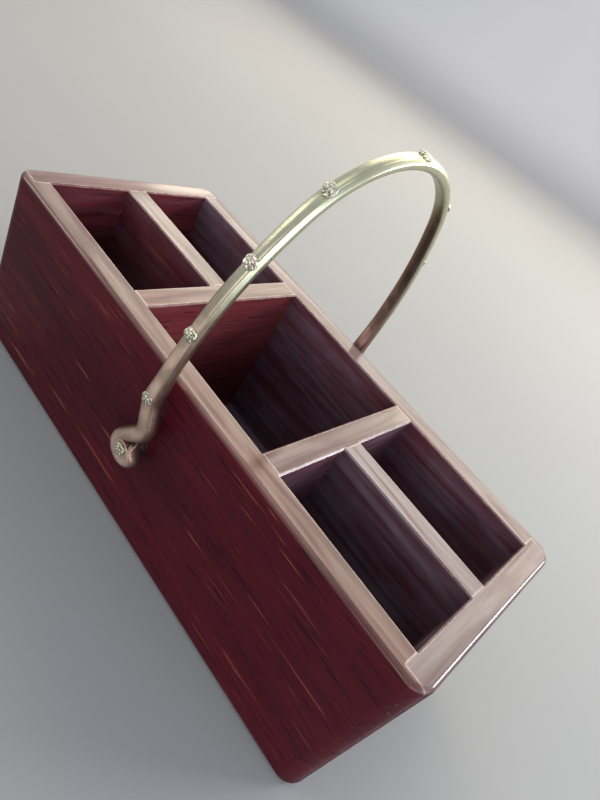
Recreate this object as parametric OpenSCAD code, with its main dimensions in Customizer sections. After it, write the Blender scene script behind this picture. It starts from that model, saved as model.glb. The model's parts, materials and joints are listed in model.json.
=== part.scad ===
// Five-compartment wooden tool caddy with a swinging bail handle.
// Millimetres, +Z up, origin under the middle of the box at the surface it stands on.
// The long boards run along X, and the front board is on the -Y side.

/* [Box] */
// Length of the box
box_l = 300; // [270:5:380]
// Width of the box
box_w = 128; // [116:2:170]
// Height of the box
box_h = 99; // [80:1:130]
// Thickness of the side and end boards
board_t = 12.7; // [10:0.1:15]
// Thickness of the dividers
divider_t = 12.2; // [8:0.1:14]
// Thickness of the bottom panel
bottom_t = 6; // [4:0.5:9]
// Clear length of the left pair of compartments
left_bay = 82; // [60:1:95]
// Clear length of the middle compartment
middle_bay = 88; // [70:1:100]
// Distance of the left long divider from the middle line
left_divider_y = 0.5; // [-15:0.5:15]
// Distance of the right long divider from the middle line
right_divider_y = -1.5; // [-15:0.5:15]

/* [Joinery] */
// Thickness of the lip of a long board that covers an end board
lip_t = 4; // [3:0.5:6]
// Depth of the housing that a divider's tongue fits
housing_d = 3; // [2:0.5:5]
// Distance of a housing's top below the rim
housing_stop = 10; // [6:1:20]
// Width of the rebate that carries the bottom panel
rebate_w = 5; // [3:0.5:7]
// Gap round a tongue in its housing
tongue_gap = 0.1; // [0:0.05:0.3]

/* [Rounded edges] */
// Radius of the four upright corners
corner_r = 9; // [4:0.5:14]
// Radius of the outer edge of the rim
rim_r = 2.5; // [1:0.5:3.5]
// Radius of the outer edge under the box
foot_r = 4.5; // [1:0.5:6]
// Width of the eased edge round each opening
ease_r = 0.7; // [0.3:0.1:1.4]

/* [Handle] */
// Height above the rim at which the legs start to curve in
leg_start = 1; // [0:1:30]
// How much the arc over the crown is smaller than half the span of the legs
crown_inset = 14.5; // [6:0.5:20]
// Half angle of the arc over the crown
crown_half = 60; // [52:1:66]
// Width of the bar across the arch
bar_w = 7; // [5:0.1:9]
// Thickness of the bar across the arch
bar_t = 5; // [4:0.1:7]
// Diameter of the round legs
leg_d = 8.6; // [7.4:0.1:10]
// Diameter of the bar round the scroll
scroll_d = 7.4; // [6:0.1:8]
// Radius of the scroll's middle line
scroll_r = 6; // [5:0.1:7]
// Angle between the upright and the stretch of bar that enters the scroll
scroll_entry = 38; // [30:1:45]
// Angle at which the leg leans out above the scroll
leg_swell = 13; // [8:1:16]
// Angle at which the handle leans towards +X when it is put down
handle_lean = 2.8; // [0:0.1:6]

/* [Pivots and studs] */
// Distance of the pivots from the middle of the box along X
pivot_x = -2; // [-8:0.5:8]
// Depth of the pivots below the rim
pivot_drop = 44; // [40:1:50]
// Thickness of the spacer between the scroll and the board
spacer_t = 2.2; // [1.5:0.1:4]
// Diameter of the pivot screw's shoulder
shank_d = 5; // [4:0.1:5.4]
// Radial clearance of the shoulder in the eye
running_gap = 0.05; // [0.02:0.01:0.1]
// Diameter of the threaded end of the pivot screw
thread_d = 3.6; // [3:0.1:4]
// Length of the threaded end in the board
thread_l = 10; // [6:0.5:9.9]
// Diameter of a rosette head
rosette_d = 6.4; // [5.6:0.1:7]
// Height of a rosette head
rosette_h = 1.9; // [1.4:0.1:2.6]
// Distance along the bar from the crown stud to the next one
first_pitch = 47; // [38:1:50]
// Distance along the bar between the other studs
stud_pitch = 36; // [30:1:37]

/* [Hidden] */
$fn = 96;

// Half sizes of the box outside and inside its walls
half_l = box_l / 2;
half_w = box_w / 2;
inner_l = half_l - board_t;
inner_w = half_w - board_t;

// Faces of the cross dividers, from -X to +X
left_cross_x = -inner_l + left_bay;
right_cross_x = left_cross_x + divider_t + middle_bay;

// Each opening at the rim: [low x, high x, low y, high y]
left_y = [left_divider_y - divider_t / 2, left_divider_y + divider_t / 2];
right_y = [right_divider_y - divider_t / 2, right_divider_y + divider_t / 2];
right_bay_x = right_cross_x + divider_t;
OPENINGS = [
    [-inner_l, left_cross_x, -inner_w, left_y[0]],
    [-inner_l, left_cross_x, left_y[1], inner_w],
    [left_cross_x + divider_t, right_cross_x, -inner_w, inner_w],
    [right_bay_x, inner_l, -inner_w, right_y[0]],
    [right_bay_x, inner_l, right_y[1], inner_w]
];

// Each straight length of a leg stops this far from its ends, inside a collar that is a hair thicker
joint_gap = 0.3;
collar_l = 1.2;
collar_gain = 0.1;

// Stations along the pivot axis, measured outwards from the middle of the box
play = 0.1;
eye_recess = 0.4;
eye_l = max(leg_d - eye_recess, scroll_d + collar_gain);
eye_inner_y = half_w + spacer_t + play;
leg_y = eye_inner_y + eye_l / 2;
head_y = eye_inner_y + eye_l + play;

pivot_z = box_h - pivot_drop;

// The arch: a crown arc tangent to two haunch arcs, which end upright on the legs
crown_r = leg_y - crown_inset;
haunch_r = (leg_y - crown_r * sin(crown_half)) / (1 - sin(crown_half));
leg_top = pivot_drop + leg_start;
haunch_z = leg_top;
crown_z = haunch_z + (haunch_r - crown_r) * cos(crown_half);
crown_l = crown_r * crown_half * PI / 180;
haunch_l = haunch_r * (90 - crown_half) * PI / 180;
bar_edge_r = 1.3;
// The haunches are a hair thinner than the crown arc, and run this many degrees into it
haunch_inset = 0.02;
haunch_lap = 0.4;
shoulder_l = 16;
shoulder_d = 3.2;

// The lower end of a leg, in the upright plane through it, with the pivot at [0, 0]
bend_r = 7;
top_bend_r = 30;
swell_l = 12;
entry_start = [-scroll_r * cos(scroll_entry), scroll_r * sin(scroll_entry)];
entry_l = (scroll_r * cos(scroll_entry) - bend_r * (cos(leg_swell) - cos(scroll_entry))
           + swell_l * sin(leg_swell) + top_bend_r * (1 - cos(leg_swell))) / sin(scroll_entry);
entry_end = entry_start + entry_l * [sin(scroll_entry), cos(scroll_entry)];
bend_centre = entry_end + bend_r * [-cos(scroll_entry), sin(scroll_entry)];
swell_start = bend_centre + bend_r * [cos(leg_swell), sin(leg_swell)];
swell_end = swell_start + swell_l * [-sin(leg_swell), cos(leg_swell)];
top_bend_start = [0, swell_end[1] + top_bend_r * sin(leg_swell)];
top_bend_centre = top_bend_start + [top_bend_r, 0];
shoulder_rise = 2;
shoulder_start = [0, leg_top + shoulder_rise];
scroll_sweep = 240;
scroll_tip_angle = 180 - scroll_entry + scroll_sweep;
scroll_tip = scroll_r * [cos(scroll_tip_angle), sin(scroll_tip_angle)];
scroll_end_l = 2.6;
scroll_end_d = 4.4;
scroll_end = scroll_tip + scroll_end_l * [-sin(scroll_tip_angle), cos(scroll_tip_angle)];
// Eye, seats, heads and stems of the pivots and studs
eye_wall = 0.5;
eye_d = scroll_d + 2 * eye_wall;
rim_share = 0.4;
rim_ledge = 0.4;
seat_depth = 0.4;
seat_d = rosette_d + 0.2;
stem_d = 2.2;
stem_l = 2.2;
stem_gap = 0.05;
spacer_d = 10.4;
pilot_gap = 0.05;
dimple_r = 0.9;
overshoot = 1;

WOOD = "#5e2323";
METAL = "#c9c3a0";
STUD = "#dcd6b4";
SCREW = "#b9b091";

// ---- Shapes that repeat ----

// What a rounding of radius r takes off an edge at [0, 0] whose material is at -x and -y
module edge_waste(r) {
    difference() {
        translate([-r, -r]) square(r + overshoot);
        translate([-r, -r]) circle(r);
    }
}

// Outline of the box seen from above
module rounded_plan() {
    square([box_l - 2 * corner_r, box_w], center = true);
    square([box_l, box_w - 2 * corner_r], center = true);
    for (x = [-1, 1], y = [-1, 1])
        translate([x * (half_l - corner_r), y * (half_w - corner_r)]) circle(corner_r);
}

// Ring that rounds the whole outer edge of the box at z = 0, facing up
module outer_edge_ring(r) {
    for (side = [0, 1]) {
        mirror([0, side, 0]) translate([corner_r - half_l, half_w, 0])
            rotate([90, 0, 90]) linear_extrude(box_l - 2 * corner_r) edge_waste(r);
        mirror([side, 0, 0]) translate([half_l, half_w - corner_r, 0])
            rotate([90, 0, 0]) linear_extrude(box_w - 2 * corner_r) edge_waste(r);
    }
    for (x = [0, 1], y = [0, 1])
        mirror([x, 0, 0]) mirror([0, y, 0]) translate([half_l - corner_r, half_w - corner_r, 0])
            rotate_extrude(angle = 90) translate([corner_r, 0]) edge_waste(r);
}

// One slope of a hopper: a span of the rim that widens by ease at its top
module hopper_profile(low, high, ease) {
    reach = ease + overshoot;
    polygon([[low, -ease], [high, -ease], [high + reach, overshoot], [low - reach, overshoot]]);
}

// Cutter that eases the rim all round one opening, with mitred corners
module opening_easing(opening) {
    translate([0, 0, box_h]) intersection() {
        translate([0, opening[3] + 2 * ease_r + overshoot, 0]) rotate([90, 0, 0])
            linear_extrude(opening[3] - opening[2] + 4 * ease_r + 2 * overshoot)
                hopper_profile(opening[0], opening[1], ease_r);
        translate([opening[0] - 2 * ease_r - overshoot, 0, 0]) rotate([90, 0, 90])
            linear_extrude(opening[1] - opening[0] + 4 * ease_r + 2 * overshoot)
                hopper_profile(opening[2], opening[3], ease_r);
    }
}

// All that sanding takes off the finished box
module sanded_waste() {
    translate([0, 0, box_h]) outer_edge_ring(rim_r);
    mirror([0, 0, 1]) outer_edge_ring(foot_r);
    for (opening = OPENINGS) opening_easing(opening);
}

// A block from its low and high corners
module block(low, high) {
    translate(low) cube(high - low);
}

// ---- Box ----

module bottom_block() {
    block([-inner_l - rebate_w, -inner_w - rebate_w, 0], [inner_l + rebate_w, inner_w + rebate_w, bottom_t]);
}

// Tongues of a cross divider whose low face is at x, made larger by gap for the housings
module cross_tongues(x, gap) {
    block([x - gap, -inner_w - housing_d - gap, bottom_t],
          [x + divider_t + gap, inner_w + housing_d + gap, box_h - housing_stop + gap]);
}

// Tongues of a long divider between two faces, made larger by gap for the housings
module long_tongues(x_range, y_range, gap) {
    block([x_range[0] - housing_d - gap, y_range[0] - gap, bottom_t],
          [x_range[1] + housing_d + gap, y_range[1] + gap, box_h - housing_stop + gap]);
}

module left_long_tongues(gap) {
    long_tongues([-inner_l, left_cross_x], left_y, gap);
}

module right_long_tongues(gap) {
    long_tongues([right_bay_x, inner_l], right_y, gap);
}

// Where the end board at +X fits, between the lips
module end_space() {
    block([inner_l, -half_w + lip_t, -overshoot], [half_l + overshoot, half_w - lip_t, box_h + overshoot]);
}

module long_board_blank() {
    difference() {
        intersection() {
            linear_extrude(box_h) rounded_plan();
            block([-half_l, -half_w, 0], [half_l, -inner_w, box_h]);
        }
        for (side = [0, 1]) mirror([side, 0, 0]) end_space();
        bottom_block();
        cross_tongues(left_cross_x, tongue_gap);
        cross_tongues(right_cross_x, tongue_gap);
        translate([pivot_x, -half_w, pivot_z])
            rotate([-90, 0, 0]) cylinder(d = thread_d + 2 * pilot_gap, h = thread_l + pilot_gap);
    }
}

module front_board() {
    color(WOOD) difference() {
        long_board_blank();
        sanded_waste();
    }
}

module back_board() {
    color(WOOD) difference() {
        mirror([0, 1, 0]) long_board_blank();
        sanded_waste();
    }
}

module end_board_blank() {
    intersection() {
        linear_extrude(box_h) rounded_plan();
        block([inner_l, -half_w + lip_t, 0], [half_l, half_w - lip_t, box_h]);
    }
}

module left_end_board() {
    color(WOOD) difference() {
        mirror([1, 0, 0]) end_board_blank();
        bottom_block();
        left_long_tongues(tongue_gap);
        sanded_waste();
    }
}

module right_end_board() {
    color(WOOD) difference() {
        end_board_blank();
        bottom_block();
        right_long_tongues(tongue_gap);
        sanded_waste();
    }
}

module bottom_panel() {
    color(WOOD) bottom_block();
}

module cross_divider_blank(x) {
    block([x, -inner_w, bottom_t], [x + divider_t, inner_w, box_h]);
    cross_tongues(x, 0);
}

module left_cross_divider() {
    color(WOOD) difference() {
        cross_divider_blank(left_cross_x);
        left_long_tongues(tongue_gap);
        sanded_waste();
    }
}

module right_cross_divider() {
    color(WOOD) difference() {
        cross_divider_blank(right_cross_x);
        right_long_tongues(tongue_gap);
        sanded_waste();
    }
}

module left_long_divider() {
    color(WOOD) difference() {
        union() {
            block([-inner_l, left_y[0], bottom_t], [left_cross_x, left_y[1], box_h]);
            left_long_tongues(0);
        }
        sanded_waste();
    }
}

module right_long_divider() {
    color(WOOD) difference() {
        union() {
            block([right_bay_x, right_y[0], bottom_t], [inner_l, right_y[1], box_h]);
            right_long_tongues(0);
        }
        sanded_waste();
    }
}

// ---- Handle ----

// Puts a shape drawn round the pivot, with the handle upright, where the handle is put down
module on_pivot() {
    translate([pivot_x, 0, pivot_z]) rotate([0, handle_lean, 0]) children();
}

// Lays a drawing's x along Y and its y along Z
module across_box() {
    rotate([90, 0, 90]) children();
}

// Lays a drawing's x along X and its y along Z, with its height along -Y
module along_box() {
    rotate([90, 0, 0]) children();
}

// Section of the arch, inset all round: x across its thickness, y across its width
module bar_section(inset) {
    square([bar_t - 2 * inset, bar_w - 2 * bar_edge_r], center = true);
    square([bar_t - 2 * bar_edge_r, bar_w - 2 * inset], center = true);
    for (x = [-1, 1], y = [-1, 1])
        translate([x * (bar_t / 2 - bar_edge_r), y * (bar_w / 2 - bar_edge_r)]) circle(bar_edge_r - inset);
}

// A straight round bar between two points of a drawing, a little short of both
module link(from, to, d1, d2) {
    run = to - from;
    translate([from[0], from[1], 0]) rotate([-90, 0, atan2(run[1], run[0]) - 90])
        translate([0, 0, joint_gap]) cylinder(d1 = d1, d2 = d2, h = norm(run) - 2 * joint_gap);
}

// An arc of round bar in the plane of a drawing
module link_arc(centre, radius, from, sweep, d) {
    translate([centre[0], centre[1], 0])
        rotate_extrude(angle = sweep, start = from) translate([radius, 0]) circle(d = d);
}

// The thin collar round a joint between two lengths of bar that run in one direction there
module collar(at, heading, d) {
    translate([at[0], at[1], 0]) rotate([-90, 0, heading - 90])
        cylinder(d = d + collar_gain, h = collar_l, center = true);
}

module crown_arc() {
    across_box() translate([0, crown_z, 0])
        rotate_extrude(angle = 2 * crown_half, start = 90 - crown_half)
            translate([crown_r, 0]) bar_section(0);
}

module haunch() {
    across_box() translate([leg_y - haunch_r, haunch_z, 0])
        rotate_extrude(angle = 90 - crown_half + haunch_lap, start = 0)
            translate([haunch_r, 0]) bar_section(haunch_inset);
}

// The round leg, its swell and its scroll, drawn in the leg's own plane
module leg_and_scroll() {
    link(shoulder_start, shoulder_start + [0, shoulder_l], leg_d, shoulder_d);
    link(top_bend_start, shoulder_start, leg_d, leg_d);
    link_arc(top_bend_centre, top_bend_r, 180, leg_swell, leg_d);
    link(swell_start, swell_end, leg_d, leg_d);
    link_arc(bend_centre, bend_r, -scroll_entry, scroll_entry + leg_swell, leg_d);
    link(entry_start, entry_end, scroll_d, leg_d);
    link_arc([0, 0], scroll_r, 180 - scroll_entry, scroll_sweep, scroll_d);
    collar(shoulder_start, 90, leg_d);
    collar(top_bend_start, 90, leg_d);
    collar(swell_end, 90 + leg_swell, leg_d);
    collar(swell_start, 90 + leg_swell, leg_d);
    collar(entry_end, 90 - scroll_entry, leg_d);
    collar(entry_start, 90 - scroll_entry, scroll_d);
    collar(scroll_tip, scroll_tip_angle + 90, scroll_d);
    link(scroll_tip, scroll_end, scroll_d, scroll_end_d);
    cylinder(d = eye_d, h = eye_l, center = true);
}

module leg_with_eye() {
    translate([0, leg_y, 0]) along_box() leg_and_scroll();
}

// Place of a stud: [distance from the middle, height over the pivot, angle from the crown]
function stud_place(along) =
    along <= crown_l
    ? arc_place([0, crown_z], crown_r, along / crown_r * 180 / PI)
    : along <= crown_l + haunch_l
    ? arc_place([leg_y - haunch_r, haunch_z], haunch_r, crown_half + (along - crown_l) / haunch_r * 180 / PI)
    : [leg_y + leg_d / 2, leg_top - (along - crown_l - haunch_l), 90];

function arc_place(centre, radius, angle) =
    [centre[0] + (radius + bar_t / 2) * sin(angle), centre[1] + (radius + bar_t / 2) * cos(angle), angle];

// Puts a stud's own shape, drawn with its head towards +Z, on the outside of the bar
module at_stud(place, side) {
    mirror([0, side, 0]) translate([0, place[0], place[1]])
        rotate([-place[2], 0, 0]) translate([0, 0, -seat_depth]) children();
}

// A flat seat and a blind hole for a stud
module stud_seat() {
    cylinder(d = seat_d, h = bar_t);
    translate([0, 0, -stem_l - stem_gap]) cylinder(d = stem_d + 2 * stem_gap, h = stem_l + overshoot);
}

STUD_ALONG = [for (i = [0 : 3]) first_pitch + i * stud_pitch];

module handle_bar() {
    color(METAL) on_pivot() difference() {
        union() {
            crown_arc();
            for (side = [0, 1]) mirror([0, side, 0]) {
                haunch();
                leg_with_eye();
            }
        }
        rotate([90, 0, 0]) cylinder(d = shank_d + 2 * running_gap, h = 4 * leg_y, center = true);
        at_stud(stud_place(0), 0) stud_seat();
        for (side = [0, 1], along = STUD_ALONG) at_stud(stud_place(along), side) stud_seat();
    }
}

// Round head of a stud or a pivot screw: a rim, a dome and a dimple
module rosette() {
    rim_h = rosette_h * rim_share;
    dome_h = rosette_h - rim_h;
    dome_base_r = rosette_d / 2 - rim_ledge;
    dome_r = (dome_base_r * dome_base_r + dome_h * dome_h) / (2 * dome_h);
    difference() {
        union() {
            cylinder(d = rosette_d, h = rim_h);
            intersection() {
                translate([0, 0, rosette_h - dome_r]) sphere(dome_r);
                cylinder(r = dome_base_r, h = rosette_h + overshoot);
            }
        }
        translate([0, 0, rosette_h + dimple_r / 2]) sphere(dimple_r);
    }
}

module stud() {
    rosette();
    translate([0, 0, -stem_l]) cylinder(d = stem_d, h = stem_l);
}

module placed_stud(along, side) {
    color(STUD) on_pivot() at_stud(stud_place(along), side) stud();
}

// ---- Pivots ----

// Puts a shape drawn outwards along +Z from the middle of the box on the front pivot axis
module on_front_axis() {
    translate([pivot_x, 0, pivot_z]) rotate([90, 0, 0]) children();
}

module pivot_screw() {
    translate([0, 0, head_y]) rosette();
    translate([0, 0, half_w]) cylinder(d = shank_d, h = head_y - half_w);
    translate([0, 0, half_w - thread_l]) cylinder(d = thread_d, h = thread_l);
}

module spacer() {
    difference() {
        translate([0, 0, half_w]) cylinder(d = spacer_d, h = spacer_t);
        cylinder(d = shank_d + 2 * running_gap, h = half_w + spacer_t + overshoot);
    }
}

module front_pivot_screw() {
    color(SCREW) on_front_axis() pivot_screw();
}

module back_pivot_screw() {
    color(SCREW) mirror([0, 1, 0]) on_front_axis() pivot_screw();
}

module front_spacer() {
    color(METAL) on_front_axis() spacer();
}

module back_spacer() {
    color(METAL) mirror([0, 1, 0]) on_front_axis() spacer();
}

front_board();
back_board();
left_end_board();
right_end_board();
bottom_panel();
left_cross_divider();
right_cross_divider();
left_long_divider();
right_long_divider();
handle_bar();
placed_stud(0, 0);  // stud_crown
for (i = [0 : 3]) {
    placed_stud(STUD_ALONG[i], 1);
    placed_stud(STUD_ALONG[i], 0);
}
front_pivot_screw();
back_pivot_screw();
front_spacer();
back_spacer();
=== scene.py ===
# %% [markdown]
# A wooden tool caddy with a swinging bail handle.
# The real caddy is a lacquered rosewood box in five compartments. A cast brass bail spans it, turns on a
# screw at each long side, and carries nine small rose-shaped studs. The engineering model already holds
# every wooden piece at its true size, so this lesson keeps those pieces and gives them a finish, and it
# models afresh only what a casting has and a plain solid lacks: the handle, the roses and the screw heads.

# %% Load the frame
import json
import math

import bmesh
import bpy
from mathutils import Matrix, Vector


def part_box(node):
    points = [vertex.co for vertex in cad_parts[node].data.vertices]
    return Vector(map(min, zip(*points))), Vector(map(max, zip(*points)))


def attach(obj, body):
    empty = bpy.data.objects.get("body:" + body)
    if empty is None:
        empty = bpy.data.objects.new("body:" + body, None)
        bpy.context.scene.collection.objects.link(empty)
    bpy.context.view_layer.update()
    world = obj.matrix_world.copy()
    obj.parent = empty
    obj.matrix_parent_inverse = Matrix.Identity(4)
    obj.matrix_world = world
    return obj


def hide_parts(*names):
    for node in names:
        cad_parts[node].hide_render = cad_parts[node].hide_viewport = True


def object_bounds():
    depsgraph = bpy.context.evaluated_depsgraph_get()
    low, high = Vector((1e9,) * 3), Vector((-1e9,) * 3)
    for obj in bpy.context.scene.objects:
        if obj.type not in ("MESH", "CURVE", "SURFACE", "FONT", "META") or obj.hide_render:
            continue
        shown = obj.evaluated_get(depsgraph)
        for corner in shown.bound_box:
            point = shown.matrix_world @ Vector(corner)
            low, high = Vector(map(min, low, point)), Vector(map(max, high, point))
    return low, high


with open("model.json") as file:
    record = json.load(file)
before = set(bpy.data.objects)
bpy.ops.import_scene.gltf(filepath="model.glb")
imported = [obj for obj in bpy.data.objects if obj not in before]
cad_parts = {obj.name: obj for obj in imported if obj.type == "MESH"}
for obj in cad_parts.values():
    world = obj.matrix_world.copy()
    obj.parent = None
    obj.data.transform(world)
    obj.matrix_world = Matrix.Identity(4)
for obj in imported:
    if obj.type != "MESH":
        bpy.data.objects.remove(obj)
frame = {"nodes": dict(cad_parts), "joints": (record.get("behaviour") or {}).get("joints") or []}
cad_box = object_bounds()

MM = 0.001
X_AXIS = Vector((1, 0, 0))
Y_AXIS = Vector((0, 1, 0))
print("frame:", len(frame["nodes"]), "nodes, from", cad_box[0], "to", cad_box[1])

# %% [markdown]
# Sizes that every step shares.
# The box and the pivots are read from the loaded frame, so nothing here has to be fitted by eye. Only the
# handle's own bends are repeated as numbers, because a frame node gives no more than its outer corners.

# %% Shared sizes
rim_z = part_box("front_board")[1].z
box_half_l = cad_box[1].x
box_half_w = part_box("back_board")[1].y
pivot = Vector(frame["joints"][0]["pos_m"])
print("rim height", round(rim_z / MM, 1), "mm, pivot at", [round(v / MM, 1) for v in pivot], "mm")

# %% [markdown]
# The camera.
# It looks steeply down over the near right corner of the box, and it is tilted on its side, so the long
# boards run from the upper left to the lower right. A camera that tracks a point stays level, so it is
# first aimed level at a point on the rim and then rolled about its own line of sight.

# %% Place the camera
camera_place = Vector((0.1220, -0.2179, 0.2571))
camera_aim = Vector((0.02588, -0.00984, 0.0990))
camera_roll = math.radians(35.08)
camera_lens = 27.07
camera_sensor_w = 36
camera_nearest = 0.01
camera_farthest = 20


def add_camera():
    bpy.ops.object.camera_add(location=camera_place)
    camera = bpy.context.object
    level = (camera_aim - camera_place).to_track_quat("-Z", "Y")
    camera.rotation_euler = (level.to_matrix() @ Matrix.Rotation(camera_roll, 3, "Z")).to_euler()
    camera.data.lens = camera_lens
    camera.data.sensor_width = camera_sensor_w
    camera.data.clip_start = camera_nearest
    camera.data.clip_end = camera_farthest
    return camera


bpy.ops.object.select_all(action="DESELECT")
bpy.context.scene.camera = add_camera()
print("camera at", [round(v, 3) for v in camera_place], "rolled", round(math.degrees(camera_roll), 1), "deg")

# %% [markdown]
# Helpers for shader nodes.
# A finish is a chain of nodes. Wired one by one, its purpose is lost among the links, so each helper puts
# one node in place, feeds it, and hands back its output for the next. An input may be fed another node's
# output or a plain value.

# %% Node helpers
def put(tree, kind, values=None, **settings):
    """Puts a node in a tree. The values go to its sockets, and the settings to the node itself."""
    node = tree.nodes.new(kind)
    for key, value in settings.items():
        setattr(node, key, value)
    for key, value in (values or {}).items():
        feed(tree, value, node.inputs[key])
    return node


def feed(tree, value, socket):
    if isinstance(value, bpy.types.NodeSocket):
        tree.links.new(value, socket)
    else:
        socket.default_value = value


def calculate(tree, operation, first, second=None, **settings):
    node = put(tree, "ShaderNodeMath", {0: first}, operation=operation, **settings)
    if second is not None:
        feed(tree, second, node.inputs[1])
    return node.outputs["Value"]


def remap(tree, value, old=(0.0, 1.0), new=(0.0, 1.0)):
    """Brings a value from an old range to a new one, and keeps it inside the new one."""
    ends = {"From Min": old[0], "From Max": old[1], "To Min": new[0], "To Max": new[1]}
    return put(tree, "ShaderNodeMapRange", {"Value": value, **ends}).outputs["Result"]


def noise(tree, place, scale, detail=2.0, distortion=0.0):
    values = {"Vector": place, "Scale": scale, "Detail": detail, "Distortion": distortion}
    return put(tree, "ShaderNodeTexNoise", values).outputs["Fac"]


def ramp(tree, value, stops):
    """A colour ramp with two stops. Each is a position and a grey level, or a position and (r, g, b)."""
    node = put(tree, "ShaderNodeValToRGB", {"Fac": value})
    for element, (position, tone) in zip(node.color_ramp.elements, stops):
        element.position = position
        element.color = (*tone, 1) if isinstance(tone, tuple) else (tone, tone, tone, 1)
    return node.outputs["Color"]


def mix_colour(tree, amount, below, above):
    """Lays one colour over another by a mask. Each colour is a socket or a plain (r, g, b)."""
    mix = put(tree, "ShaderNodeMix", {"Factor": amount}, data_type="RGBA")
    for slot, colour in ((6, below), (7, above)):
        feed(tree, (*colour, 1) if isinstance(colour, tuple) else colour, mix.inputs[slot])
    return mix.outputs[2]


def axes_of(tree, vector):
    return put(tree, "ShaderNodeSeparateXYZ", {"Vector": vector}).outputs


def object_place(tree):
    return put(tree, "ShaderNodeTexCoord").outputs["Object"]


def surface_normal(tree):
    return put(tree, "ShaderNodeNewGeometry").outputs["Normal"]


def raise_bump(tree, shader, height, strength, distance):
    bump = put(tree, "ShaderNodeBump", {"Height": height, "Strength": strength, "Distance": distance})
    feed(tree, bump.outputs["Normal"], shader.inputs["Normal"])


def new_material(name):
    material = bpy.data.materials.new(name)
    material.use_nodes = True
    return material, material.node_tree, material.node_tree.nodes["Principled BSDF"]


def give_material(piece, material):
    piece.data.materials.clear()
    piece.data.materials.append(material)


print("node helpers ready")

# %% [markdown]
# The studio.
# Lacquer and brass show mostly what they mirror, so the lights are soft boxes, each put where one face
# mirrors it towards the camera. Two behind the caddy lie in the level rims. A cool, low one at the right
# lies in the sides of the bail, and a small, very bright one at the far right lies in the bevelled edges.
# A warm one overhead, one at the left and one in front light the outer faces, and an even sky fills the
# shadows. The far end of the floor gets less light than the near end, so it is painted paler and has a soft
# box of its own, and the backdrop then looks even.

# %% Floor and sky
floor_half = 3.0
floor_near = (0.285, 0.28, 0.275)
floor_far = (0.62, 0.605, 0.59)
floor_paler_from_y = 1.4
floor_paler_to_y = 3.0
floor_mottle = 0.08
backdrop_y = 3.6
sweep_r = 1.0
sky_colour = (0.78, 0.85, 1.0, 1)
sky_brightness = 0.66


def add_floor(half_size, wall_y):
    """A floor whose far edge sweeps up into a wall, so that no horizon shows."""
    bpy.ops.mesh.primitive_plane_add(size=2 * half_size, location=(0, wall_y - half_size, 0))
    floor = bpy.context.object
    floor.name = "studio_floor"
    bpy.ops.object.mode_set(mode="EDIT")
    bpy.ops.mesh.select_all(action="DESELECT")
    mesh = bmesh.from_edit_mesh(floor.data)
    for edge in mesh.edges:
        edge.select_set(all(v.co.y > half_size - 0.01 for v in edge.verts))
    mesh.select_flush_mode()
    bmesh.update_edit_mesh(floor.data)
    bpy.ops.mesh.extrude_region_move(TRANSFORM_OT_translate={"value": (0, 0, half_size)})
    bpy.ops.object.mode_set(mode="OBJECT")
    sweep = floor.modifiers.new("sweep", "BEVEL")
    sweep.width = sweep_r
    sweep.segments = 16
    bpy.ops.object.modifier_apply(modifier=sweep.name)
    bpy.ops.object.shade_smooth()
    floor.data.transform(Matrix.Translation(floor.location))
    floor.location = (0, 0, 0)
    return floor


def floor_material():
    material, tree, shader = new_material("pale_floor")
    shader.inputs["Roughness"].default_value = 0.8
    shader.inputs["Specular IOR Level"].default_value = 0.2
    place = object_place(tree)
    mottle = noise(tree, place, 3.0)
    stretch = (floor_paler_from_y, floor_paler_to_y)
    away = remap(tree, axes_of(tree, place)["Y"], stretch, (0.0, 1 - floor_mottle))
    pale = calculate(tree, "ADD", calculate(tree, "MULTIPLY", mottle, floor_mottle), away)
    feed(tree, ramp(tree, pale, [(0.0, floor_near), (1.0, floor_far)]), shader.inputs["Base Color"])
    return material


give_material(add_floor(floor_half, backdrop_y), floor_material())
sky = bpy.data.worlds.new("studio_sky")
sky.use_nodes = True
sky.node_tree.nodes["Background"].inputs["Color"].default_value = sky_colour
sky.node_tree.nodes["Background"].inputs["Strength"].default_value = sky_brightness
bpy.context.scene.world = sky
bpy.context.scene.view_settings.view_transform = "Standard"
print("floor and sky ready")

# %% Soft boxes
# Each soft box: where it stands, where it points, its width and height, how bright it looks, its colour.
soft_boxes = {
    "rim_left_soft_box": ((-1.75, 0.95, 0.80), (-0.3, 0, 0.1), (1.1, 0.9), 1.3, (1.0, 0.90, 0.74)),
    "rim_right_soft_box": ((-0.35, 1.10, 0.98), (0, 0, 0.1), (1.8, 1.3), 3.4, (1.0, 0.93, 0.74)),
    "window_soft_box": ((0.95, -0.35, 0.30), (0, 0, 0.14), (1.5, 0.56), 3.2, (0.76, 0.89, 1.0)),
    "corner_soft_box": ((0.85, 1.00, 0.60), (0, 0, 0.10), (0.5, 0.4), 22.0, (0.90, 0.95, 1.0)),
    "top_soft_box": ((-0.32, -0.42, 1.15), (0, 0, 0.15), (0.6, 0.35), 1.5, (1.0, 0.98, 0.80)),
    "left_soft_box": ((-1.00, -0.65, 0.65), (0, 0, 0.06), (0.4, 0.4), 5.0, (1.0, 0.95, 0.82)),
    "front_soft_box": ((0.28, -1.20, 0.28), (0, 0, 0.06), (0.45, 0.5), 3.2, (1.0, 0.88, 0.80)),
    "wall_soft_box": ((-0.90, 1.45, 2.40), (-1.2, 3.6, 0.9), (3.2, 1.6), 2.8, (1.0, 0.96, 0.92)),
}


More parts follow.
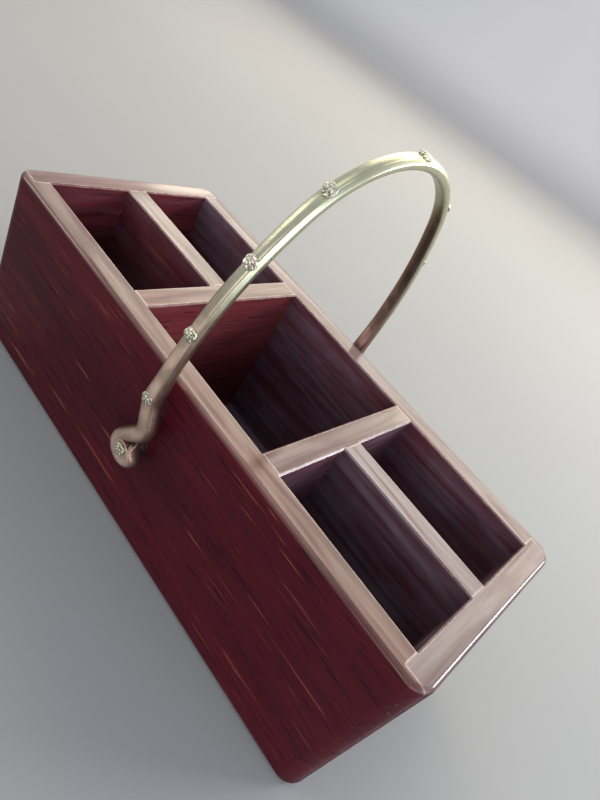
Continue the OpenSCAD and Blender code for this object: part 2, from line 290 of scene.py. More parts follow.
def add_soft_box(name, place, aim, size, brightness, colour):
    """A light's watts follow from its size and from how bright its face should look."""
    bpy.ops.object.light_add(type="AREA", location=place)
    light = bpy.context.object
    light.name = name
    light.rotation_euler = (Vector(aim) - Vector(place)).to_track_quat("-Z", "Y").to_euler()
    light.data.shape = "RECTANGLE"
    light.data.size, light.data.size_y = size
    light.data.energy = brightness * math.pi * size[0] * size[1]
    light.data.color = colour


for name, values in soft_boxes.items():
    add_soft_box(name, *values)
print("studio lit by", len(soft_boxes), "soft boxes")

# %% [markdown]
# Shared finishes as node groups.
# A finish that several materials share is one node group with named sockets, built once. Each material
# places it with its own values, so the wood of nine boards, and the metal of the bail, its roses and its
# screws, stay alike and still differ from piece to piece. A group gives masks only, and each material
# chooses the colours.

# %% Node group helpers
def new_group(name, inputs, outputs):
    """An empty group. Hands back the group, what it is given, and the sockets that it gives out."""
    group = bpy.data.node_groups.new(name, "ShaderNodeTree")
    for socket, kind in inputs.items():
        group.interface.new_socket(socket, in_out="INPUT", socket_type="NodeSocket" + kind)
    for socket in outputs:
        group.interface.new_socket(socket, in_out="OUTPUT", socket_type="NodeSocketFloat")
    return group, put(group, "NodeGroupInput").outputs, put(group, "NodeGroupOutput").inputs


def use_group(tree, group, values):
    return put(tree, "ShaderNodeGroup", values, node_tree=group)


print("group helpers ready")

# %% [markdown]
# Rosewood figure.
# Rosewood has broad dark and red growth bands, thin pale streaks, and short open pores, all drawn out along
# the board. A wave texture gives bands that are too regular, so each layer is noise whose coordinates are
# squeezed far more across the board than along it.

# %% Figure of the wood
# Each layer: how tightly it is squeezed along and across the board, the noise's detail and distortion, and
# the two noise levels between which its mask goes from none to full.
figure_layers = {
    "Bands": (4, 42, 6, 0.9, 0.25, 0.75),
    "Brushed": (14, 170, 5, 0.6, 0.36, 0.64),
    "Fibres": (12, 420, 4, 0.4, 0.30, 0.70),
    "Streaks": (26, 620, 2, 0.4, 0.66, 0.74),
    "Pores": (60, 900, 2, 0.0, 0.58, 0.66),
}


def build_figure_group():
    group, given, masks = new_group("rosewood_figure", {"Along Board": "Vector"}, figure_layers)
    for name, (along, across, detail, distortion, none_below, full_above) in figure_layers.items():
        values = {"Vector": given["Along Board"], "Scale": (along, across, across)}
        squeezed = put(group, "ShaderNodeMapping", values).outputs["Vector"]
        grain = noise(group, squeezed, 1.0, detail, distortion)
        feed(group, ramp(group, grain, [(none_below, 0.0), (full_above, 1.0)]), masks[name])
    return group


figure_group = build_figure_group()
print("figure group gives", list(figure_layers))

# %% [markdown]
# Worn and lit edges.
# Lacquer rubs thin where a hand or a tool passes over an edge, and there the wood shows paler, as the brass
# shows brighter. On the wood the pale edge is also a painted highlight, for the light that the eased edges
# catch. The mask compares the surface's own direction with the one it would have if its edges were
# rounded: they differ only beside an edge. Noise then breaks the mask up, because wear is never even.

# %% Mask for worn and lit edges
def build_edge_group():
    group, given, masks = new_group("worn_and_lit_edges", {"Place": "Vector", "Reach": "Float"}, ["Mask"])
    rounded = put(group, "ShaderNodeBevel", {"Radius": given["Reach"]}, samples=4).outputs["Normal"]
    both = {0: rounded, 1: surface_normal(group)}
    agree = put(group, "ShaderNodeVectorMath", both, operation="DOT_PRODUCT").outputs["Value"]
    edge = remap(group, agree, (1.0, 0.90))
    patches = remap(group, noise(group, given["Place"], 260.0, 3.0), (0.35, 0.65), (0.35, 1.0))
    feed(group, calculate(group, "MULTIPLY", edge, patches), masks["Mask"])
    return group


edge_group = build_edge_group()
print("edge group built:", edge_group.name)

# %% [markdown]
# Painted shade in the hollows.
# The brass is painted darker where it is closed in: a painted shade, along with the old polish and tarnish
# that a casting keeps in its hollows. The ambient occlusion node measures how closed in a spot is, from the
# shape alone, so it finds the gaps between petals wherever the piece is seen from.

# %% Mask for painted shade in the hollows
def build_hollow_shade_group():
    group, given, masks = new_group("painted_hollow_shade", {"Reach": "Float"}, ["Mask"])
    openness = put(group, "ShaderNodeAmbientOcclusion", {"Distance": given["Reach"]}, samples=6)
    feed(group, remap(group, openness.outputs["AO"], (0.75, 0.30)), masks["Mask"])
    return group


hollow_shade_group = build_hollow_shade_group()
print("hollow group built:", hollow_shade_group.name)

# %% [markdown]
# Inside tint.
# The compartments are tinted a greyish violet in uneven patches, and the outside is left bare. So the mask is
# uneven noise inside the box and nothing near its outer faces, which it knows from how far a spot is from the
# middle along each side.

# %% Mask for the inside tint
def build_inside_tint_group():
    inputs = {"Place": "Vector", "Amount": "Float", "Clean Beyond X": "Float", "Clean Beyond Y": "Float"}
    group, given, masks = new_group("inside_tint_mask", inputs, ["Mask"])
    cloud = remap(group, noise(group, given["Place"], 38.0, 5.0), (0.3, 0.7), (0.5, 1.0))
    inside_tint = calculate(group, "MULTIPLY", cloud, given["Amount"])
    axes = axes_of(group, given["Place"])
    for axis in "XY":
        from_middle = calculate(group, "ABSOLUTE", axes[axis])
        inside = calculate(group, "LESS_THAN", from_middle, given["Clean Beyond " + axis])
        inside_tint = calculate(group, "MULTIPLY", inside_tint, inside)
    feed(group, inside_tint, masks["Mask"])
    return group


inside_tint_group = build_inside_tint_group()
print("dust group built:", inside_tint_group.name)

# %% [markdown]
# Lacquered rosewood.
# The real finish is a clear coat over dark red-brown wood, so the wood itself is fairly rough and the gloss
# is a coat on top. The level faces shine most, and they are painted tan and pink in long brushed marks: a
# painted sheen for the light they mirror, along with the rubbing of years of hands. Boards that run along the
# box and boards that cross it need their grain turned a quarter, and no two come from the same place in the
# log. So one function makes a material for each board, from its direction, its place in the log, how red it
# is, how much greyish-violet tint lies inside it, and how much painted sheen and rubbing its top has.

# %% Colours and layers of the wood
wood_dark = (0.034, 0.0035, 0.0085)
wood_red = (0.100, 0.0085, 0.0150)
wood_streak = (0.36, 0.105, 0.050)
# Pale edge tone: wear, along with a painted highlight where the eased edges catch light.
wood_worn_and_lit = (0.70, 0.52, 0.44)
pore_dark = (0.014, 0.003, 0.004)
wood_inside_tint = (0.20, 0.165, 0.20)
# Tan and pink of the level faces: a painted sheen, along with rubbed wear.
wood_tan_sheen = (0.19, 0.150, 0.098)
wood_pink_sheen = (0.235, 0.122, 0.092)
# A redder board gains more green than red or blue, and so turns a little towards orange.
redness_powers = (1, 1.6, 1)
wood_edge_reach = 1.1 * MM
untinted_skin = 2 * MM
tint_combed = 1.6


def figured_wood(tree, figure, redness):
    """The bare wood: dark and red bands, then fibres, pale streaks and open pores over them."""
    red = tuple(c * redness ** power for c, power in zip(wood_red, redness_powers))
    colour = mix_colour(tree, figure["Bands"], wood_dark, red)
    layers = {"Fibres": (0.35, wood_dark), "Streaks": (0.38, wood_streak), "Pores": (0.7, pore_dark)}
    for name, (strength, tone) in layers.items():
        colour = mix_colour(tree, calculate(tree, "MULTIPLY", figure[name], strength), colour, tone)
    return colour


def sheen_and_rub_level_faces(tree, colour, figure, level, brushed, top_sheen_and_rub):
    # Level faces are painted tan and pink in brushed marks: a painted sheen, along with rubbing.
    painted_sheen = calculate(tree, "MULTIPLY", level, brushed)
    tone = mix_colour(tree, figure["Bands"], wood_tan_sheen, wood_pink_sheen)
    return mix_colour(tree, calculate(tree, "MULTIPLY", painted_sheen, top_sheen_and_rub), colour, tone)


def paint_worn_and_lit_edges(tree, colour, place, polish):
    # The edges are painted pale: partly wear, partly a painted highlight.
    edges = use_group(tree, edge_group, {"Place": place, "Reach": wood_edge_reach})
    worn_and_lit = calculate(tree, "MULTIPLY", edges.outputs["Mask"], polish)
    return mix_colour(tree, worn_and_lit, colour, wood_worn_and_lit)


def tint_inside(tree, colour, place, brushed, inside_tint):
    # The inside of the box is tinted a greyish violet in combed patches, and the outer faces are left bare.
    outer = {"Clean Beyond X": box_half_l - untinted_skin, "Clean Beyond Y": box_half_w - untinted_skin}
    tinted = use_group(tree, inside_tint_group, {"Place": place, "Amount": inside_tint, **outer})
    combed = calculate(tree, "MULTIPLY", tinted.outputs["Mask"], brushed)
    return mix_colour(tree, calculate(tree, "MULTIPLY", combed, tint_combed), colour, wood_inside_tint)


print("wood colours run from", wood_dark, "to", wood_red)


# %% Rosewood for one board
def rosewood(name, quarter_turn, place_in_log, redness, inside_tint, top_sheen_and_rub):
    material, tree, shader = new_material(name)
    shader.inputs["Coat Roughness"].default_value = 0.13
    shader.inputs["Coat IOR"].default_value = 1.5
    shader.inputs["Specular IOR Level"].default_value = 0.08

    place = object_place(tree)
    turn = (0, 0, math.radians(90) if quarter_turn else 0)
    in_log = put(tree, "ShaderNodeMapping", {"Vector": place, "Location": place_in_log, "Rotation": turn})
    figure = use_group(tree, figure_group, {"Along Board": in_log.outputs["Vector"]}).outputs
    level = remap(tree, axes_of(tree, surface_normal(tree))["Z"], (0.2, 0.9))
    polish = remap(tree, level, new=(0.10, 1.0))
    brushed = remap(tree, figure["Brushed"], new=(0.30, 1.0))

    colour = figured_wood(tree, figure, redness)
    colour = sheen_and_rub_level_faces(tree, colour, figure, level, brushed, top_sheen_and_rub)
    colour = paint_worn_and_lit_edges(tree, colour, place, polish)
    colour = tint_inside(tree, colour, place, brushed, inside_tint)
    feed(tree, colour, shader.inputs["Base Color"])

    uneven = remap(tree, figure["Brushed"], new=(0.55, 1.0))
    feed(tree, calculate(tree, "MULTIPLY", polish, uneven), shader.inputs["Coat Weight"])
    feed(tree, remap(tree, figure["Fibres"], new=(0.38, 0.55)), shader.inputs["Roughness"])
    sunk = calculate(tree, "SUBTRACT", figure["Fibres"], figure["Pores"])
    raise_bump(tree, shader, sunk, strength=0.12, distance=0.1 * MM)
    return material


print("rosewood ready for any board")


# %% Finish every board
# Each board: does its grain cross the box, how red is it, how much greyish-violet tint lies on its inside,
# how much painted sheen and rubbing its top has.
boards = {
    "front_board": (False, 0.85, 0.02, 0.72),
    "back_board": (False, 1.1, 0.36, 0.72),
    "left_end_board": (True, 1.7, 0.08, 0.70),
    "right_end_board": (True, 0.9, 0.40, 0.66),
    "bottom_panel": (False, 0.7, 0.60, 0.15),
    "left_cross_divider": (True, 2.6, 0.06, 0.70),
    "right_cross_divider": (True, 1.1, 0.28, 0.68),
    "left_long_divider": (False, 1.5, 0.16, 0.72),
    "right_long_divider": (False, 0.9, 0.46, 0.68),
}
log_step = Vector((0.43, 0.17, 0.29))
for number, (node, (crosses, redness, inside_tint, top_sheen_and_rub)) in enumerate(boards.items()):
    material = rosewood("rosewood_" + node, crosses, log_step * number, redness, inside_tint, top_sheen_and_rub)
    give_material(frame["nodes"][node], material)
print("finished", len(boards), "boards")

# %% [markdown]
# Cast brass.
# The bail is pale brass that has been handled for years. Its crown is rubbed bright and greenish yellow. Its
# legs and scrolls keep a rose-brown skin, which is painted cream on the sides that face out and in: a painted
# highlight. Height decides how much skin is left, and noise roughens the border. Shallow dents and a fine
# grain break up what the metal mirrors. The roses and screws are the same brass with paler tones and hardly
# any skin, and the two spacers are painted nearly black, a painted shadow, with a dark grey painted highlight
# on their sides.

# %% Masks for the brass
def build_patina_and_highlight_group():
    inputs = {"Place": "Vector", "Dark Below": "Float", "Bright Above": "Float"}
    outputs = ["Skin", "Side Highlight", "Mottle", "Fine", "Dents"]
    group, given, masks = new_group("brass_patina_and_highlight", inputs, outputs)
    place = given["Place"]
    cloud = noise(group, place, 120.0, 4.0, 0.4)
    mottle = ramp(group, cloud, [(0.35, 0.0), (0.70, 1.0)])

    border = (given["Dark Below"], given["Bright Above"])
    low_down = remap(group, axes_of(group, place)["Z"], border, (1.0, 0.0))
    rough_border = remap(group, cloud, (0.3, 0.7), (-0.25, 0.25))
    feed(group, calculate(group, "ADD", low_down, rough_border, use_clamp=True), masks["Skin"])

    # The side highlight mask paints the skin cream where the surface faces across the box: a painted
    # highlight, broken into patches.
    sideways = calculate(group, "ABSOLUTE", axes_of(group, surface_normal(group))["Y"])
    painted_sheen = remap(group, sideways, (0.72, 0.99))
    patchy = remap(group, mottle, new=(0.45, 1.0))
    feed(group, calculate(group, "MULTIPLY", painted_sheen, patchy), masks["Side Highlight"])

    feed(group, mottle, masks["Mottle"])
    feed(group, noise(group, place, 900.0, 3.0), masks["Fine"])
    feed(group, noise(group, place, 230.0, 1.0), masks["Dents"])
    return group


patina_and_highlight_group = build_patina_and_highlight_group()
print("patina group built:", patina_and_highlight_group.name)

# %% Brass with its patina and painted highlight
brass_bright = (0.56, 0.545, 0.37)
brass_pale = (0.47, 0.455, 0.315)
rose_pale = (0.50, 0.48, 0.36)
rose_bright = (0.74, 0.71, 0.56)
skin_brown = (0.26, 0.150, 0.115)
# The skin's cream tone is a painted highlight on the sides that face across the box.
skin_cream_highlight = (0.98, 0.72, 0.56)
# Nearly black tones for the spacers: a painted shadow, with a dark grey painted highlight on their sides.
shadow_black = (0.10, 0.07, 0.06)
shadow_side_highlight = (0.20, 0.15, 0.12)
# Dark tone painted into the hollows: painted shade, along with tarnish.
brass_hollow_shade = (0.10, 0.08, 0.06)
hollow_reach = 1.2 * MM
hollow_shade_strength = 0.85
edge_brightening = 0.6
skin_dulling = 0.03
pit_depth = 0.4
dent_depth = 3.0


def brass(name, dark_below, bright_above, edge_reach, metal_tones, skin_and_highlight_tones):
    """Each pair of tones is first the dull one and then the bright one."""
    material, tree, shader = new_material(name)
    place = object_place(tree)
    heights = {"Dark Below": dark_below, "Bright Above": bright_above}
    patina_and_highlight = use_group(tree, patina_and_highlight_group, {"Place": place, **heights}).outputs
    edges = use_group(tree, edge_group, {"Place": place, "Reach": edge_reach}).outputs
    hollow_shade = use_group(tree, hollow_shade_group, {"Reach": hollow_reach}).outputs

    metal = mix_colour(tree, patina_and_highlight["Mottle"], *metal_tones)
    # The skin turns cream where the side highlight mask is full: a painted highlight.
    highlighted_skin = mix_colour(tree, patina_and_highlight["Side Highlight"], *skin_and_highlight_tones)
    colour = mix_colour(tree, patina_and_highlight["Skin"], metal, highlighted_skin)
    rubbed_edges = calculate(tree, "MULTIPLY", edges["Mask"], edge_brightening)
    colour = mix_colour(tree, rubbed_edges, colour, metal_tones[1])
    # The hollows are painted darker: painted shade, along with tarnish.
    hollow_shade_and_tarnish = calculate(tree, "MULTIPLY", hollow_shade["Mask"], hollow_shade_strength)
    colour = mix_colour(tree, hollow_shade_and_tarnish, colour, brass_hollow_shade)
    feed(tree, colour, shader.inputs["Base Color"])
    feed(tree, remap(tree, patina_and_highlight["Skin"], new=(1.0, 0.9)), shader.inputs["Metallic"])

    grain = remap(tree, patina_and_highlight["Fine"], new=(0.22, 0.42))
    dulled = calculate(tree, "MULTIPLY", patina_and_highlight["Skin"], skin_dulling)
    feed(tree, calculate(tree, "ADD", grain, dulled), shader.inputs["Roughness"])
    pits = calculate(tree, "MULTIPLY", patina_and_highlight["Fine"], pit_depth)
    dents = calculate(tree, "MULTIPLY", patina_and_highlight["Dents"], dent_depth)
    raise_bump(tree, shader, calculate(tree, "ADD", pits, dents), strength=0.20, distance=0.15 * MM)
    return material


print("brass ready for any piece")


# %% Brasses for the bail, the roses, the screws and the spacers
bail_metal = (brass_pale, brass_bright)
rose_metal = (rose_pale, rose_bright)
skin_and_highlight = (skin_brown, skin_cream_highlight)
painted_shadow_tones = (shadow_black, shadow_side_highlight)
small_edge = 0.25 * MM
# Heights under the floor leave hardly any skin, and heights over the whole caddy leave skin everywhere.
all_below = (-0.2, -0.1)
all_above = (0.2, 0.3)
bail_brass = brass("bail_brass", rim_z + 12 * MM, rim_z + 65 * MM, 0.6 * MM, bail_metal, skin_and_highlight)
rose_brass = brass("rose_brass", *all_below, small_edge, rose_metal, skin_and_highlight)
screw_brass = brass("screw_brass", *all_below, small_edge, rose_metal, skin_and_highlight)
# The spacers are painted nearly black all over: a painted shadow for the shade they sit in beside the board.
spacer_brass = brass("spacer_brass", *all_above, small_edge, bail_metal, painted_shadow_tones)
for node in ("front_spacer", "back_spacer"):
    give_material(frame["nodes"][node], spacer_brass)
print("four brasses ready, and two spacers finished")

# %% [markdown]
# The bail's line.
# Half of the bail is one bar that leaves the crown, follows a tight arc and then a flatter one, stands
# upright beside the box, sways outwards, turns back sharply and curls round the pivot. A path with a bevel
# would keep one section all along, but this bar changes: it is flat and ridged over the arch, round at the
# leg, and thins in the curl. So the bar is drawn as a maker would forge it: the section is made once, spun
# round each bend, pushed along each straight, and rounded or thinned as it goes.

# %% Sizes of the bail
# The whole bail leans a little from upright at rest.
lean = math.radians(2.8)
leg_y = 70.4 * MM
crown_r = 55.9 * MM
crown_half = math.radians(60)
haunch_turn = math.pi / 2 - crown_half
haunch_r = (leg_y - crown_r * math.sin(crown_half)) / (1 - math.sin(crown_half))
leg_top_z = rim_z + 1 * MM
crown_z = leg_top_z + (haunch_r - crown_r) * math.cos(crown_half)
leg_d = 9.0 * MM
leg_swell = math.radians(20)
swell_l = 9.5 * MM
top_bend_r = 18 * MM
sharp_bend_r = 7 * MM
scroll_d = 7.2 * MM
scroll_r = 6.1 * MM
scroll_entry = math.radians(38)
curl_turn = math.radians(200)
blade_steps = 6
blade_turn_a_step = math.radians(7)
blade_thinning_a_step = 0.12
blade_inset = 2 * MM
tip_push = 0.3 * MM
eye_d = 9.0 * MM
eye_bore_d = 5.3 * MM
eye_l = 8.2 * MM
small_bevel = 0.35 * MM
print("haunch radius", round(haunch_r / MM, 1), "mm, crown centre", round((crown_z - rim_z) / MM, 1), "mm up")

# Half of the flat section, in mm: across the bar, and outwards from its middle.
flat_section = [
    (0.0, 2.45), (1.1, 2.34), (1.6, 2.08), (2.0, 2.16), (2.3, 1.88), (3.15, 0.95),
    (3.38, 0.55), (3.30, -1.2), (2.6, -2.1), (1.2, -2.38), (0.0, -2.42),
]
# Subdivision pulls a closed section in by a few hundredths, so it is drawn that much larger.
drawn_larger = 1.07
# The first part of the haunch keeps the flat section, and the rest rounds towards the leg.
flat_share = 0.72
rounded_share = 0.28
flat_growth = 1.03
rounding_steps = 5
growth_a_step = 1.045
rounding_a_step = 0.30
ring_size = 2 * (len(flat_section) - 1)
print("the bar's section has", ring_size, "corners")


# %% Helpers for selecting and applying
def only_selected(piece):
    bpy.ops.object.select_all(action="DESELECT")
    piece.select_set(True)
    bpy.context.view_layer.objects.active = piece


def apply_modifier(piece, kind, **settings):
    only_selected(piece)
    modifier = piece.modifiers.new(kind.lower(), kind)
    for key, value in settings.items():
        setattr(modifier, key, value)
    bpy.ops.object.modifier_apply(modifier=modifier.name)


def join_pieces(main, *others):
    bpy.ops.object.select_all(action="DESELECT")
    for piece in (main, *others):
        piece.select_set(True)
    bpy.context.view_layer.objects.active = main
    bpy.ops.object.join()
    return bpy.context.object


print("helpers for whole pieces ready")


# %% Helpers for the open end of the bar
def ring_corners(piece):
    """The selected corners of the piece in edit mode."""
    return [v for v in bmesh.from_edit_mesh(piece.data).verts if v.select]


def ring_centre(piece):
    corners = ring_corners(piece)
    return sum((v.co for v in corners), Vector()) / len(corners)


def mean_radius(piece):
    centre = ring_centre(piece)
    corners = ring_corners(piece)
    return sum((v.co - centre).length for v in corners) / len(corners)


def grow_ring(piece, factor):
    bpy.ops.transform.resize(value=(factor,) * 3, center_override=ring_centre(piece))


def round_ring(piece, share):
    """Moves each corner of the open end towards a circle of the ring's mean radius."""
    centre = ring_centre(piece)
    mean = mean_radius(piece)
    for v in ring_corners(piece):
        arm = v.co - centre
        v.co = centre + arm * (1 + share * (mean / arm.length - 1))
    bmesh.update_edit_mesh(piece.data)


def thin_ring(piece, curl_centre, share):
    """Squeezes the open end of the bar towards the curl's inside, so that it ends as a blade."""
    centre = ring_centre(piece)
    inwards = (curl_centre - centre).normalized()
    for v in ring_corners(piece):
        depth = (v.co - centre).dot(inwards)
        v.co -= inwards * (depth - blade_inset) * share
    bmesh.update_edit_mesh(piece.data)


def slant_ring(piece, curl_centre):
    """Draws the open end of the bar forward, most at the board's side, so that its face looks outwards."""
    forward = Y_AXIS.cross(ring_centre(piece) - curl_centre).normalized() * -1
    front = max(v.co.y for v in ring_corners(piece))
    for v in ring_corners(piece):
        v.co += forward * (front - v.co.y + tip_push)
    bmesh.update_edit_mesh(piece.data)


print("helpers for the bar's open end ready")


# %% Helpers for drawing the bar out
def spin_ring(piece, steps, angle, centre, axis, grow=1.0):
    """Carries the open end of the bar round a bend, a step at a time, and grows it a little at each.

    The spin operator turns clockwise for a positive angle, so the angle is given to it with its sign changed.
    """
    for _ in range(steps):
        bpy.ops.mesh.spin(steps=1, angle=-angle / steps, center=centre, axis=axis, use_auto_merge=False)
        if grow != 1.0:
            grow_ring(piece, grow ** (1 / steps))


def push_ring(piece, steps, run, grow=1.0, rounding=0.0):
    """Pushes the open end of the bar along a straight, growing and rounding it on the way."""
    for _ in range(steps):
        bpy.ops.mesh.extrude_region_move(TRANSFORM_OT_translate={"value": Vector(run) / steps})
        if grow != 1.0:
            grow_ring(piece, grow ** (1 / steps))
        if rounding:
            round_ring(piece, rounding)


print("helpers for drawing the bar out ready")


# %% Draw the arch of half the bail
def start_section(name, centre):
    """A ring of corners in the flat section's shape, standing across the bar at the crown."""
    bpy.ops.mesh.primitive_circle_add(vertices=ring_size, radius=3 * MM, location=(0, 0, 0))
    piece = bpy.context.object
    piece.name = name
    whole = flat_section + [(-across, out) for across, out in reversed(flat_section[1:-1])]
    for vertex, (across, out) in zip(piece.data.vertices, whole):
        vertex.co = centre + Vector((across, 0, out)) * MM * drawn_larger
    bpy.ops.object.mode_set(mode="EDIT")
    bpy.ops.mesh.select_all(action="SELECT")
    return piece


def draw_arch():
    crown_centre = Vector((0, 0, crown_z))
    piece = start_section("bail_handle", crown_centre + Vector((0, 0, crown_r)))
    spin_ring(piece, 16, -crown_half, crown_centre, X_AXIS)
    haunch_centre = Vector((0, leg_y - haunch_r, leg_top_z))
    spin_ring(piece, 8, -haunch_turn * flat_share, haunch_centre, X_AXIS, flat_growth)
    turn_a_step = -haunch_turn * rounded_share / rounding_steps
    for _ in range(rounding_steps):
        spin_ring(piece, 1, turn_a_step, haunch_centre, X_AXIS, growth_a_step)
        round_ring(piece, rounding_a_step)
    return piece


half_bail = draw_arch()
print("the arch ends at", [round(v / MM, 1) for v in ring_centre(half_bail)], "mm")


# %% Draw the leg
def run_at(angle):
    """A direction in the leg's plane, turned by an angle from straight down towards +X."""
    return Vector((math.sin(angle), 0, -math.cos(angle)))


def bend_centre(piece, angle, radius, turn):
    """Centre of a bend that starts at the open end. The bar runs at the angle there, and turn is +1 to +X."""
    side = Vector((math.cos(angle), 0, math.sin(angle)))
    return ring_centre(piece) + side * radius * turn


def entry_length():
    """The straight into the curl is as long as it takes to bring the curl's centre under the leg's top."""
    sideways = (
        scroll_r * math.cos(scroll_entry)
        - sharp_bend_r * (math.cos(leg_swell) - math.cos(scroll_entry))
        + swell_l * math.sin(leg_swell)
        + top_bend_r * (1 - math.cos(leg_swell))
    )
    return sideways / math.sin(scroll_entry)


def first_bend_height():
    """How far above the pivot the leg's first bend starts."""
    return (
        scroll_r * math.sin(scroll_entry)
        + entry_length() * math.cos(scroll_entry)
        + sharp_bend_r * (math.sin(scroll_entry) + math.sin(leg_swell))
        + swell_l * math.cos(leg_swell)
        + top_bend_r * math.sin(leg_swell)
    )


def draw_leg(piece):
    straight = leg_top_z - pivot.z - first_bend_height()
    push_ring(piece, 4, run_at(0) * straight, leg_d / 2 / mean_radius(piece), rounding=0.6)
    spin_ring(piece, 4, leg_swell, bend_centre(piece, 0, top_bend_r, 1), -Y_AXIS)
    push_ring(piece, 3, run_at(leg_swell) * swell_l)
    turn_back = bend_centre(piece, leg_swell, sharp_bend_r, -1)
    spin_ring(piece, 8, -(leg_swell + scroll_entry), turn_back, -Y_AXIS)
    push_ring(piece, 3, run_at(-scroll_entry) * entry_length(), scroll_d / leg_d)


draw_leg(half_bail)
print("the leg ends at", [round(v / MM, 1) for v in ring_centre(half_bail)], "mm")


# %% Curl the end of the leg
def draw_curl(piece):
    """Most of the curl is round, its last stretch thins to a blade, and its end is a slanted face."""
    centre = bend_centre(piece, -scroll_entry, scroll_r, 1)
    spin_ring(piece, 22, curl_turn, centre, -Y_AXIS)
    for _ in range(blade_steps):
        spin_ring(piece, 1, blade_turn_a_step, centre, -Y_AXIS)
        thin_ring(piece, centre, blade_thinning_a_step)
    bpy.ops.mesh.extrude_region_move(TRANSFORM_OT_translate={"value": (0, 0, 0)})
    slant_ring(piece, centre)
    bpy.ops.mesh.edge_face_add()
    bpy.ops.mesh.inset(thickness=small_bevel)
    return centre


curl_centre = draw_curl(half_bail)
bpy.ops.object.mode_set(mode="OBJECT")
print("the curl is centred at", [round(v / MM, 2) for v in curl_centre], "mm")


# %% Add the eye inside the curl
def draw_eye():
    """A barrel with a bore: both ends are inset, and the two inner faces are bridged into a tunnel."""
    bpy.ops.mesh.primitive_cylinder_add(vertices=40, radius=eye_d / 2, depth=eye_l, location=(0, 0, 0))
    eye = bpy.context.object
    eye.data.transform(Matrix.Translation((0, leg_y, pivot.z)) @ Matrix.Rotation(math.pi / 2, 4, "X"))
    bpy.ops.object.mode_set(mode="EDIT")
    bpy.ops.mesh.select_all(action="DESELECT")
    mesh = bmesh.from_edit_mesh(eye.data)
    for face in mesh.faces:
        face.select_set(abs(face.normal.y) > 0.9)
    bmesh.update_edit_mesh(eye.data)
    bpy.ops.mesh.inset(thickness=(eye_d - eye_bore_d) / 2)
    bpy.ops.mesh.bridge_edge_loops()
    bpy.ops.object.mode_set(mode="OBJECT")
    apply_modifier(eye, "BEVEL", width=small_bevel, segments=2, limit_method="ANGLE")
    return eye


half_bail = join_pieces(half_bail, draw_eye())
print("half the bail:", len(half_bail.data.polygons), "faces")


# %% Close the bail and set it in place
def recalculate_outside(piece):
    only_selected(piece)
    bpy.ops.object.mode_set(mode="EDIT")
    bpy.ops.mesh.select_all(action="SELECT")
    bpy.ops.mesh.remove_doubles(threshold=0.00001)
    bpy.ops.mesh.normals_make_consistent(inside=False)
    bpy.ops.object.mode_set(mode="OBJECT")


tipped = Matrix.Rotation(lean, 4, "Y") @ Matrix.Translation((0, 0, -pivot.z))
on_pivot = Matrix.Translation((pivot.x, 0, pivot.z)) @ tipped
bail = half_bail
apply_modifier(bail, "MIRROR", use_axis=(False, True, False), use_clip=True, merge_threshold=0.00005)
recalculate_outside(bail)
bail.data.transform(on_pivot)
apply_modifier(bail, "SUBSURF", levels=2, render_levels=2)
only_selected(bail)
bpy.ops.object.shade_smooth()
give_material(bail, bail_brass)
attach(bail, "handle")
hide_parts("handle_bar")
print("bail:", len(bail.data.polygons), "faces")

# %% [markdown]
# The roses.
# Each stud is a small rosebud: an outer ring of petals, a turned inner ring and a bud, on a low disc. Far
# too small to draw petal by petal with sheets, they are built as flattened balls that lean over each other,
# and one voxel remesh fuses them, as wax would before casting. One rose is made, then copied to each seat.

# %% Model one rose
rose_r = 3.2 * MM
rose_h = 1.8 * MM
disc_r = rose_r * 0.93
disc_h = 0.7 * MM
# Each ring of petals: how many, then the first one's place and half sizes in mm, and in degrees how far each
# petal leans and where the ring starts.
petal_rings = [
    (6, (2.05, 0, 0.75), (1.08, 1.5, 0.42), 24, 0),
    (4, (1.05, 0, 1.22), (0.62, 1.1, 0.40), 30, 20),
    (1, (0.12, 0, 1.35), (0.55, 0.62, 0.55), 0, 0),
]


def add_petal(place, half_sizes, leaning, turn):
    bpy.ops.mesh.primitive_uv_sphere_add(segments=20, ring_count=12, radius=1, location=(0, 0, 0))
    petal = bpy.context.object
    flattened = Matrix.Diagonal((*[v * MM for v in half_sizes], 1))
    leaned = Matrix.Rotation(math.radians(leaning), 4, "X") @ flattened
    moved_out = Matrix.Translation([v * MM for v in place])
    petal.data.transform(Matrix.Rotation(math.radians(turn), 4, "Z") @ moved_out @ leaned)
    return petal


def build_rose(name):
    bpy.ops.mesh.primitive_cylinder_add(vertices=48, radius=disc_r, depth=disc_h, location=(0, 0, disc_h / 2))
    made = [bpy.context.object]
    for count, place, half_sizes, leaning, start in petal_rings:
        for step in range(count):
            made.append(add_petal(place, half_sizes, leaning, 360 / count * step + start))
    rose = join_pieces(*made)
    rose.name = name
    rose.data.transform(Matrix.Translation(rose.location))
    rose.location = (0, 0, 0)
    apply_modifier(rose, "REMESH", mode="VOXEL", voxel_size=0.11 * MM)
    apply_modifier(rose, "SMOOTH", factor=0.5, iterations=2)
    only_selected(rose)
    bpy.ops.object.shade_smooth()
    return rose


pattern_rose = build_rose("pattern_rose")
rose_top = max(v.co.z for v in pattern_rose.data.vertices)
rose_reach = max(Vector((v.co.x, v.co.y)).length for v in pattern_rose.data.vertices)
pattern_rose.data.transform(Matrix.Diagonal((rose_r / rose_reach, rose_r / rose_reach, rose_h / rose_top, 1)))
print("rose:", len(pattern_rose.data.polygons), "faces, made", round(rose_top / MM, 2), "mm high")


# %% Places for the studs
bar_half_t = 2.5 * MM
stud_sunk = 0.4 * MM
first_pitch = 47 * MM
stud_pitch = 36 * MM


def on_arc(centre_y, centre_z, radius, angle):
    out = radius + bar_half_t
    return (centre_y + out * math.sin(angle), centre_z + out * math.cos(angle), angle)


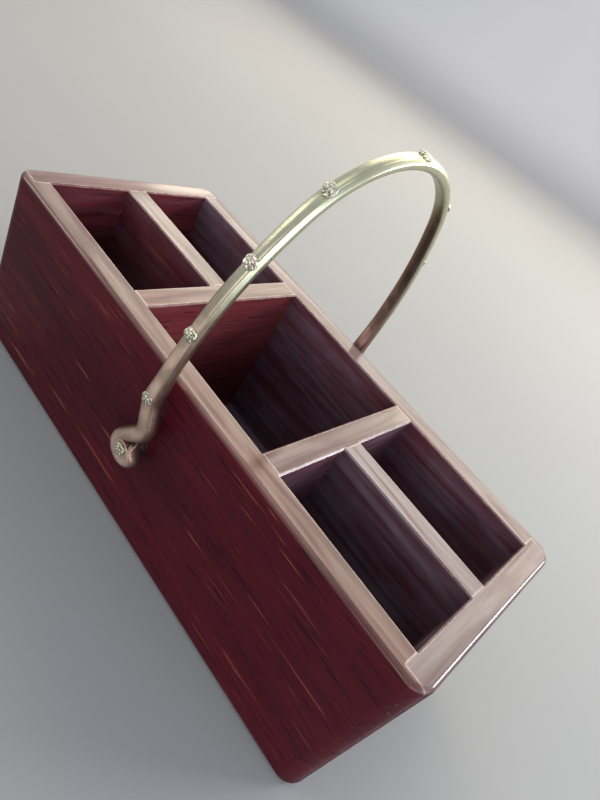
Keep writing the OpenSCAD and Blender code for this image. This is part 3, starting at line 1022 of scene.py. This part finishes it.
def seat_along(along):
    """Place of a stud: across the box, height, and how far the bar has turned from level there."""
    crown_l = crown_r * crown_half
    haunch_l = haunch_r * haunch_turn
    if along <= crown_l:
        return on_arc(0, crown_z, crown_r, along / crown_r)
    if along <= crown_l + haunch_l:
        angle = crown_half + (along - crown_l) / haunch_r
        return on_arc(leg_y - haunch_r, leg_top_z, haunch_r, angle)
    return (leg_y + leg_d / 2, leg_top_z - (along - crown_l - haunch_l), math.pi / 2)


def seat_matrix(along, side):
    y, z, angle = seat_along(along)
    stand = Matrix.Translation((0, side * y, z)) @ Matrix.Rotation(-side * angle, 4, "X")
    return on_pivot @ stand @ Matrix.Translation((0, 0, -stud_sunk))


lowest_z = seat_along(first_pitch + 3 * stud_pitch)[1]
print("the lowest studs sit", round((lowest_z - rim_z) / MM, 1), "mm above the rim")


# %% Set a rose on every stud
def copy_rose(name, place, material, body, node):
    rose = pattern_rose.copy()
    rose.data = pattern_rose.data.copy()
    rose.name = name
    bpy.context.scene.collection.objects.link(rose)
    rose.data.transform(place)
    give_material(rose, material)
    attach(rose, body)
    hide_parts(node)
    return rose


copy_rose("rose_crown", seat_matrix(0, 1), rose_brass, "handle", "stud_crown")
for number in range(4):
    for side, word in ((-1, "front"), (1, "back")):
        # No two roses were set with their petals the same way round.
        twist = Matrix.Rotation(math.radians(37 * number + 15 * side), 4, "Z")
        place = seat_matrix(first_pitch + number * stud_pitch, side) @ twist
        node = word + "_stud_" + str(number + 1)
        copy_rose("rose_" + node, place, rose_brass, "handle", node)
print("nine roses on the bail")

# %% [markdown]
# The pivot screws.
# A screw is a rose-shaped head on a smooth shoulder, and the eye of the bail turns on that shoulder. The
# head is the same rose. The shoulder shows as a bright ring in the gap beside the board, so it is kept as a
# lathed pin with a small bevel at its end, joined to its head.

# %% Screws with rose heads
shoulder_d = 5 * MM


def add_pivot_screw(word, side):
    node = word + "_pivot_screw"
    low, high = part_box(node)
    outer = max(abs(low.y), abs(high.y)) - rose_h
    inner = min(abs(low.y), abs(high.y))
    turn_out = Matrix.Rotation(-side * math.pi / 2, 4, "X")
    bpy.ops.mesh.primitive_cylinder_add(vertices=48, radius=shoulder_d / 2, depth=outer - inner)
    pin = bpy.context.object
    pin.data.transform(Matrix.Translation((pivot.x, side * (inner + outer) / 2, pivot.z)) @ turn_out)
    apply_modifier(pin, "BEVEL", width=0.3 * MM, segments=3, limit_method="ANGLE")
    give_material(pin, screw_brass)
    place = Matrix.Translation((pivot.x, side * outer, pivot.z)) @ turn_out
    head = copy_rose("screw_rose_" + word, place, screw_brass, "box", node)
    join_pieces(head, pin)


add_pivot_screw("front", -1)
add_pivot_screw("back", 1)
bpy.data.objects.remove(pattern_rose)
print("two pivot screws")

# %% [markdown]
# The engineering model's box.
# The picture model has to stay inside the engineering model's box, and that box is printed here.

# %% Print the engineering model's box
print("cad box", [tuple(round(v, 4) for v in c) for c in cad_box])
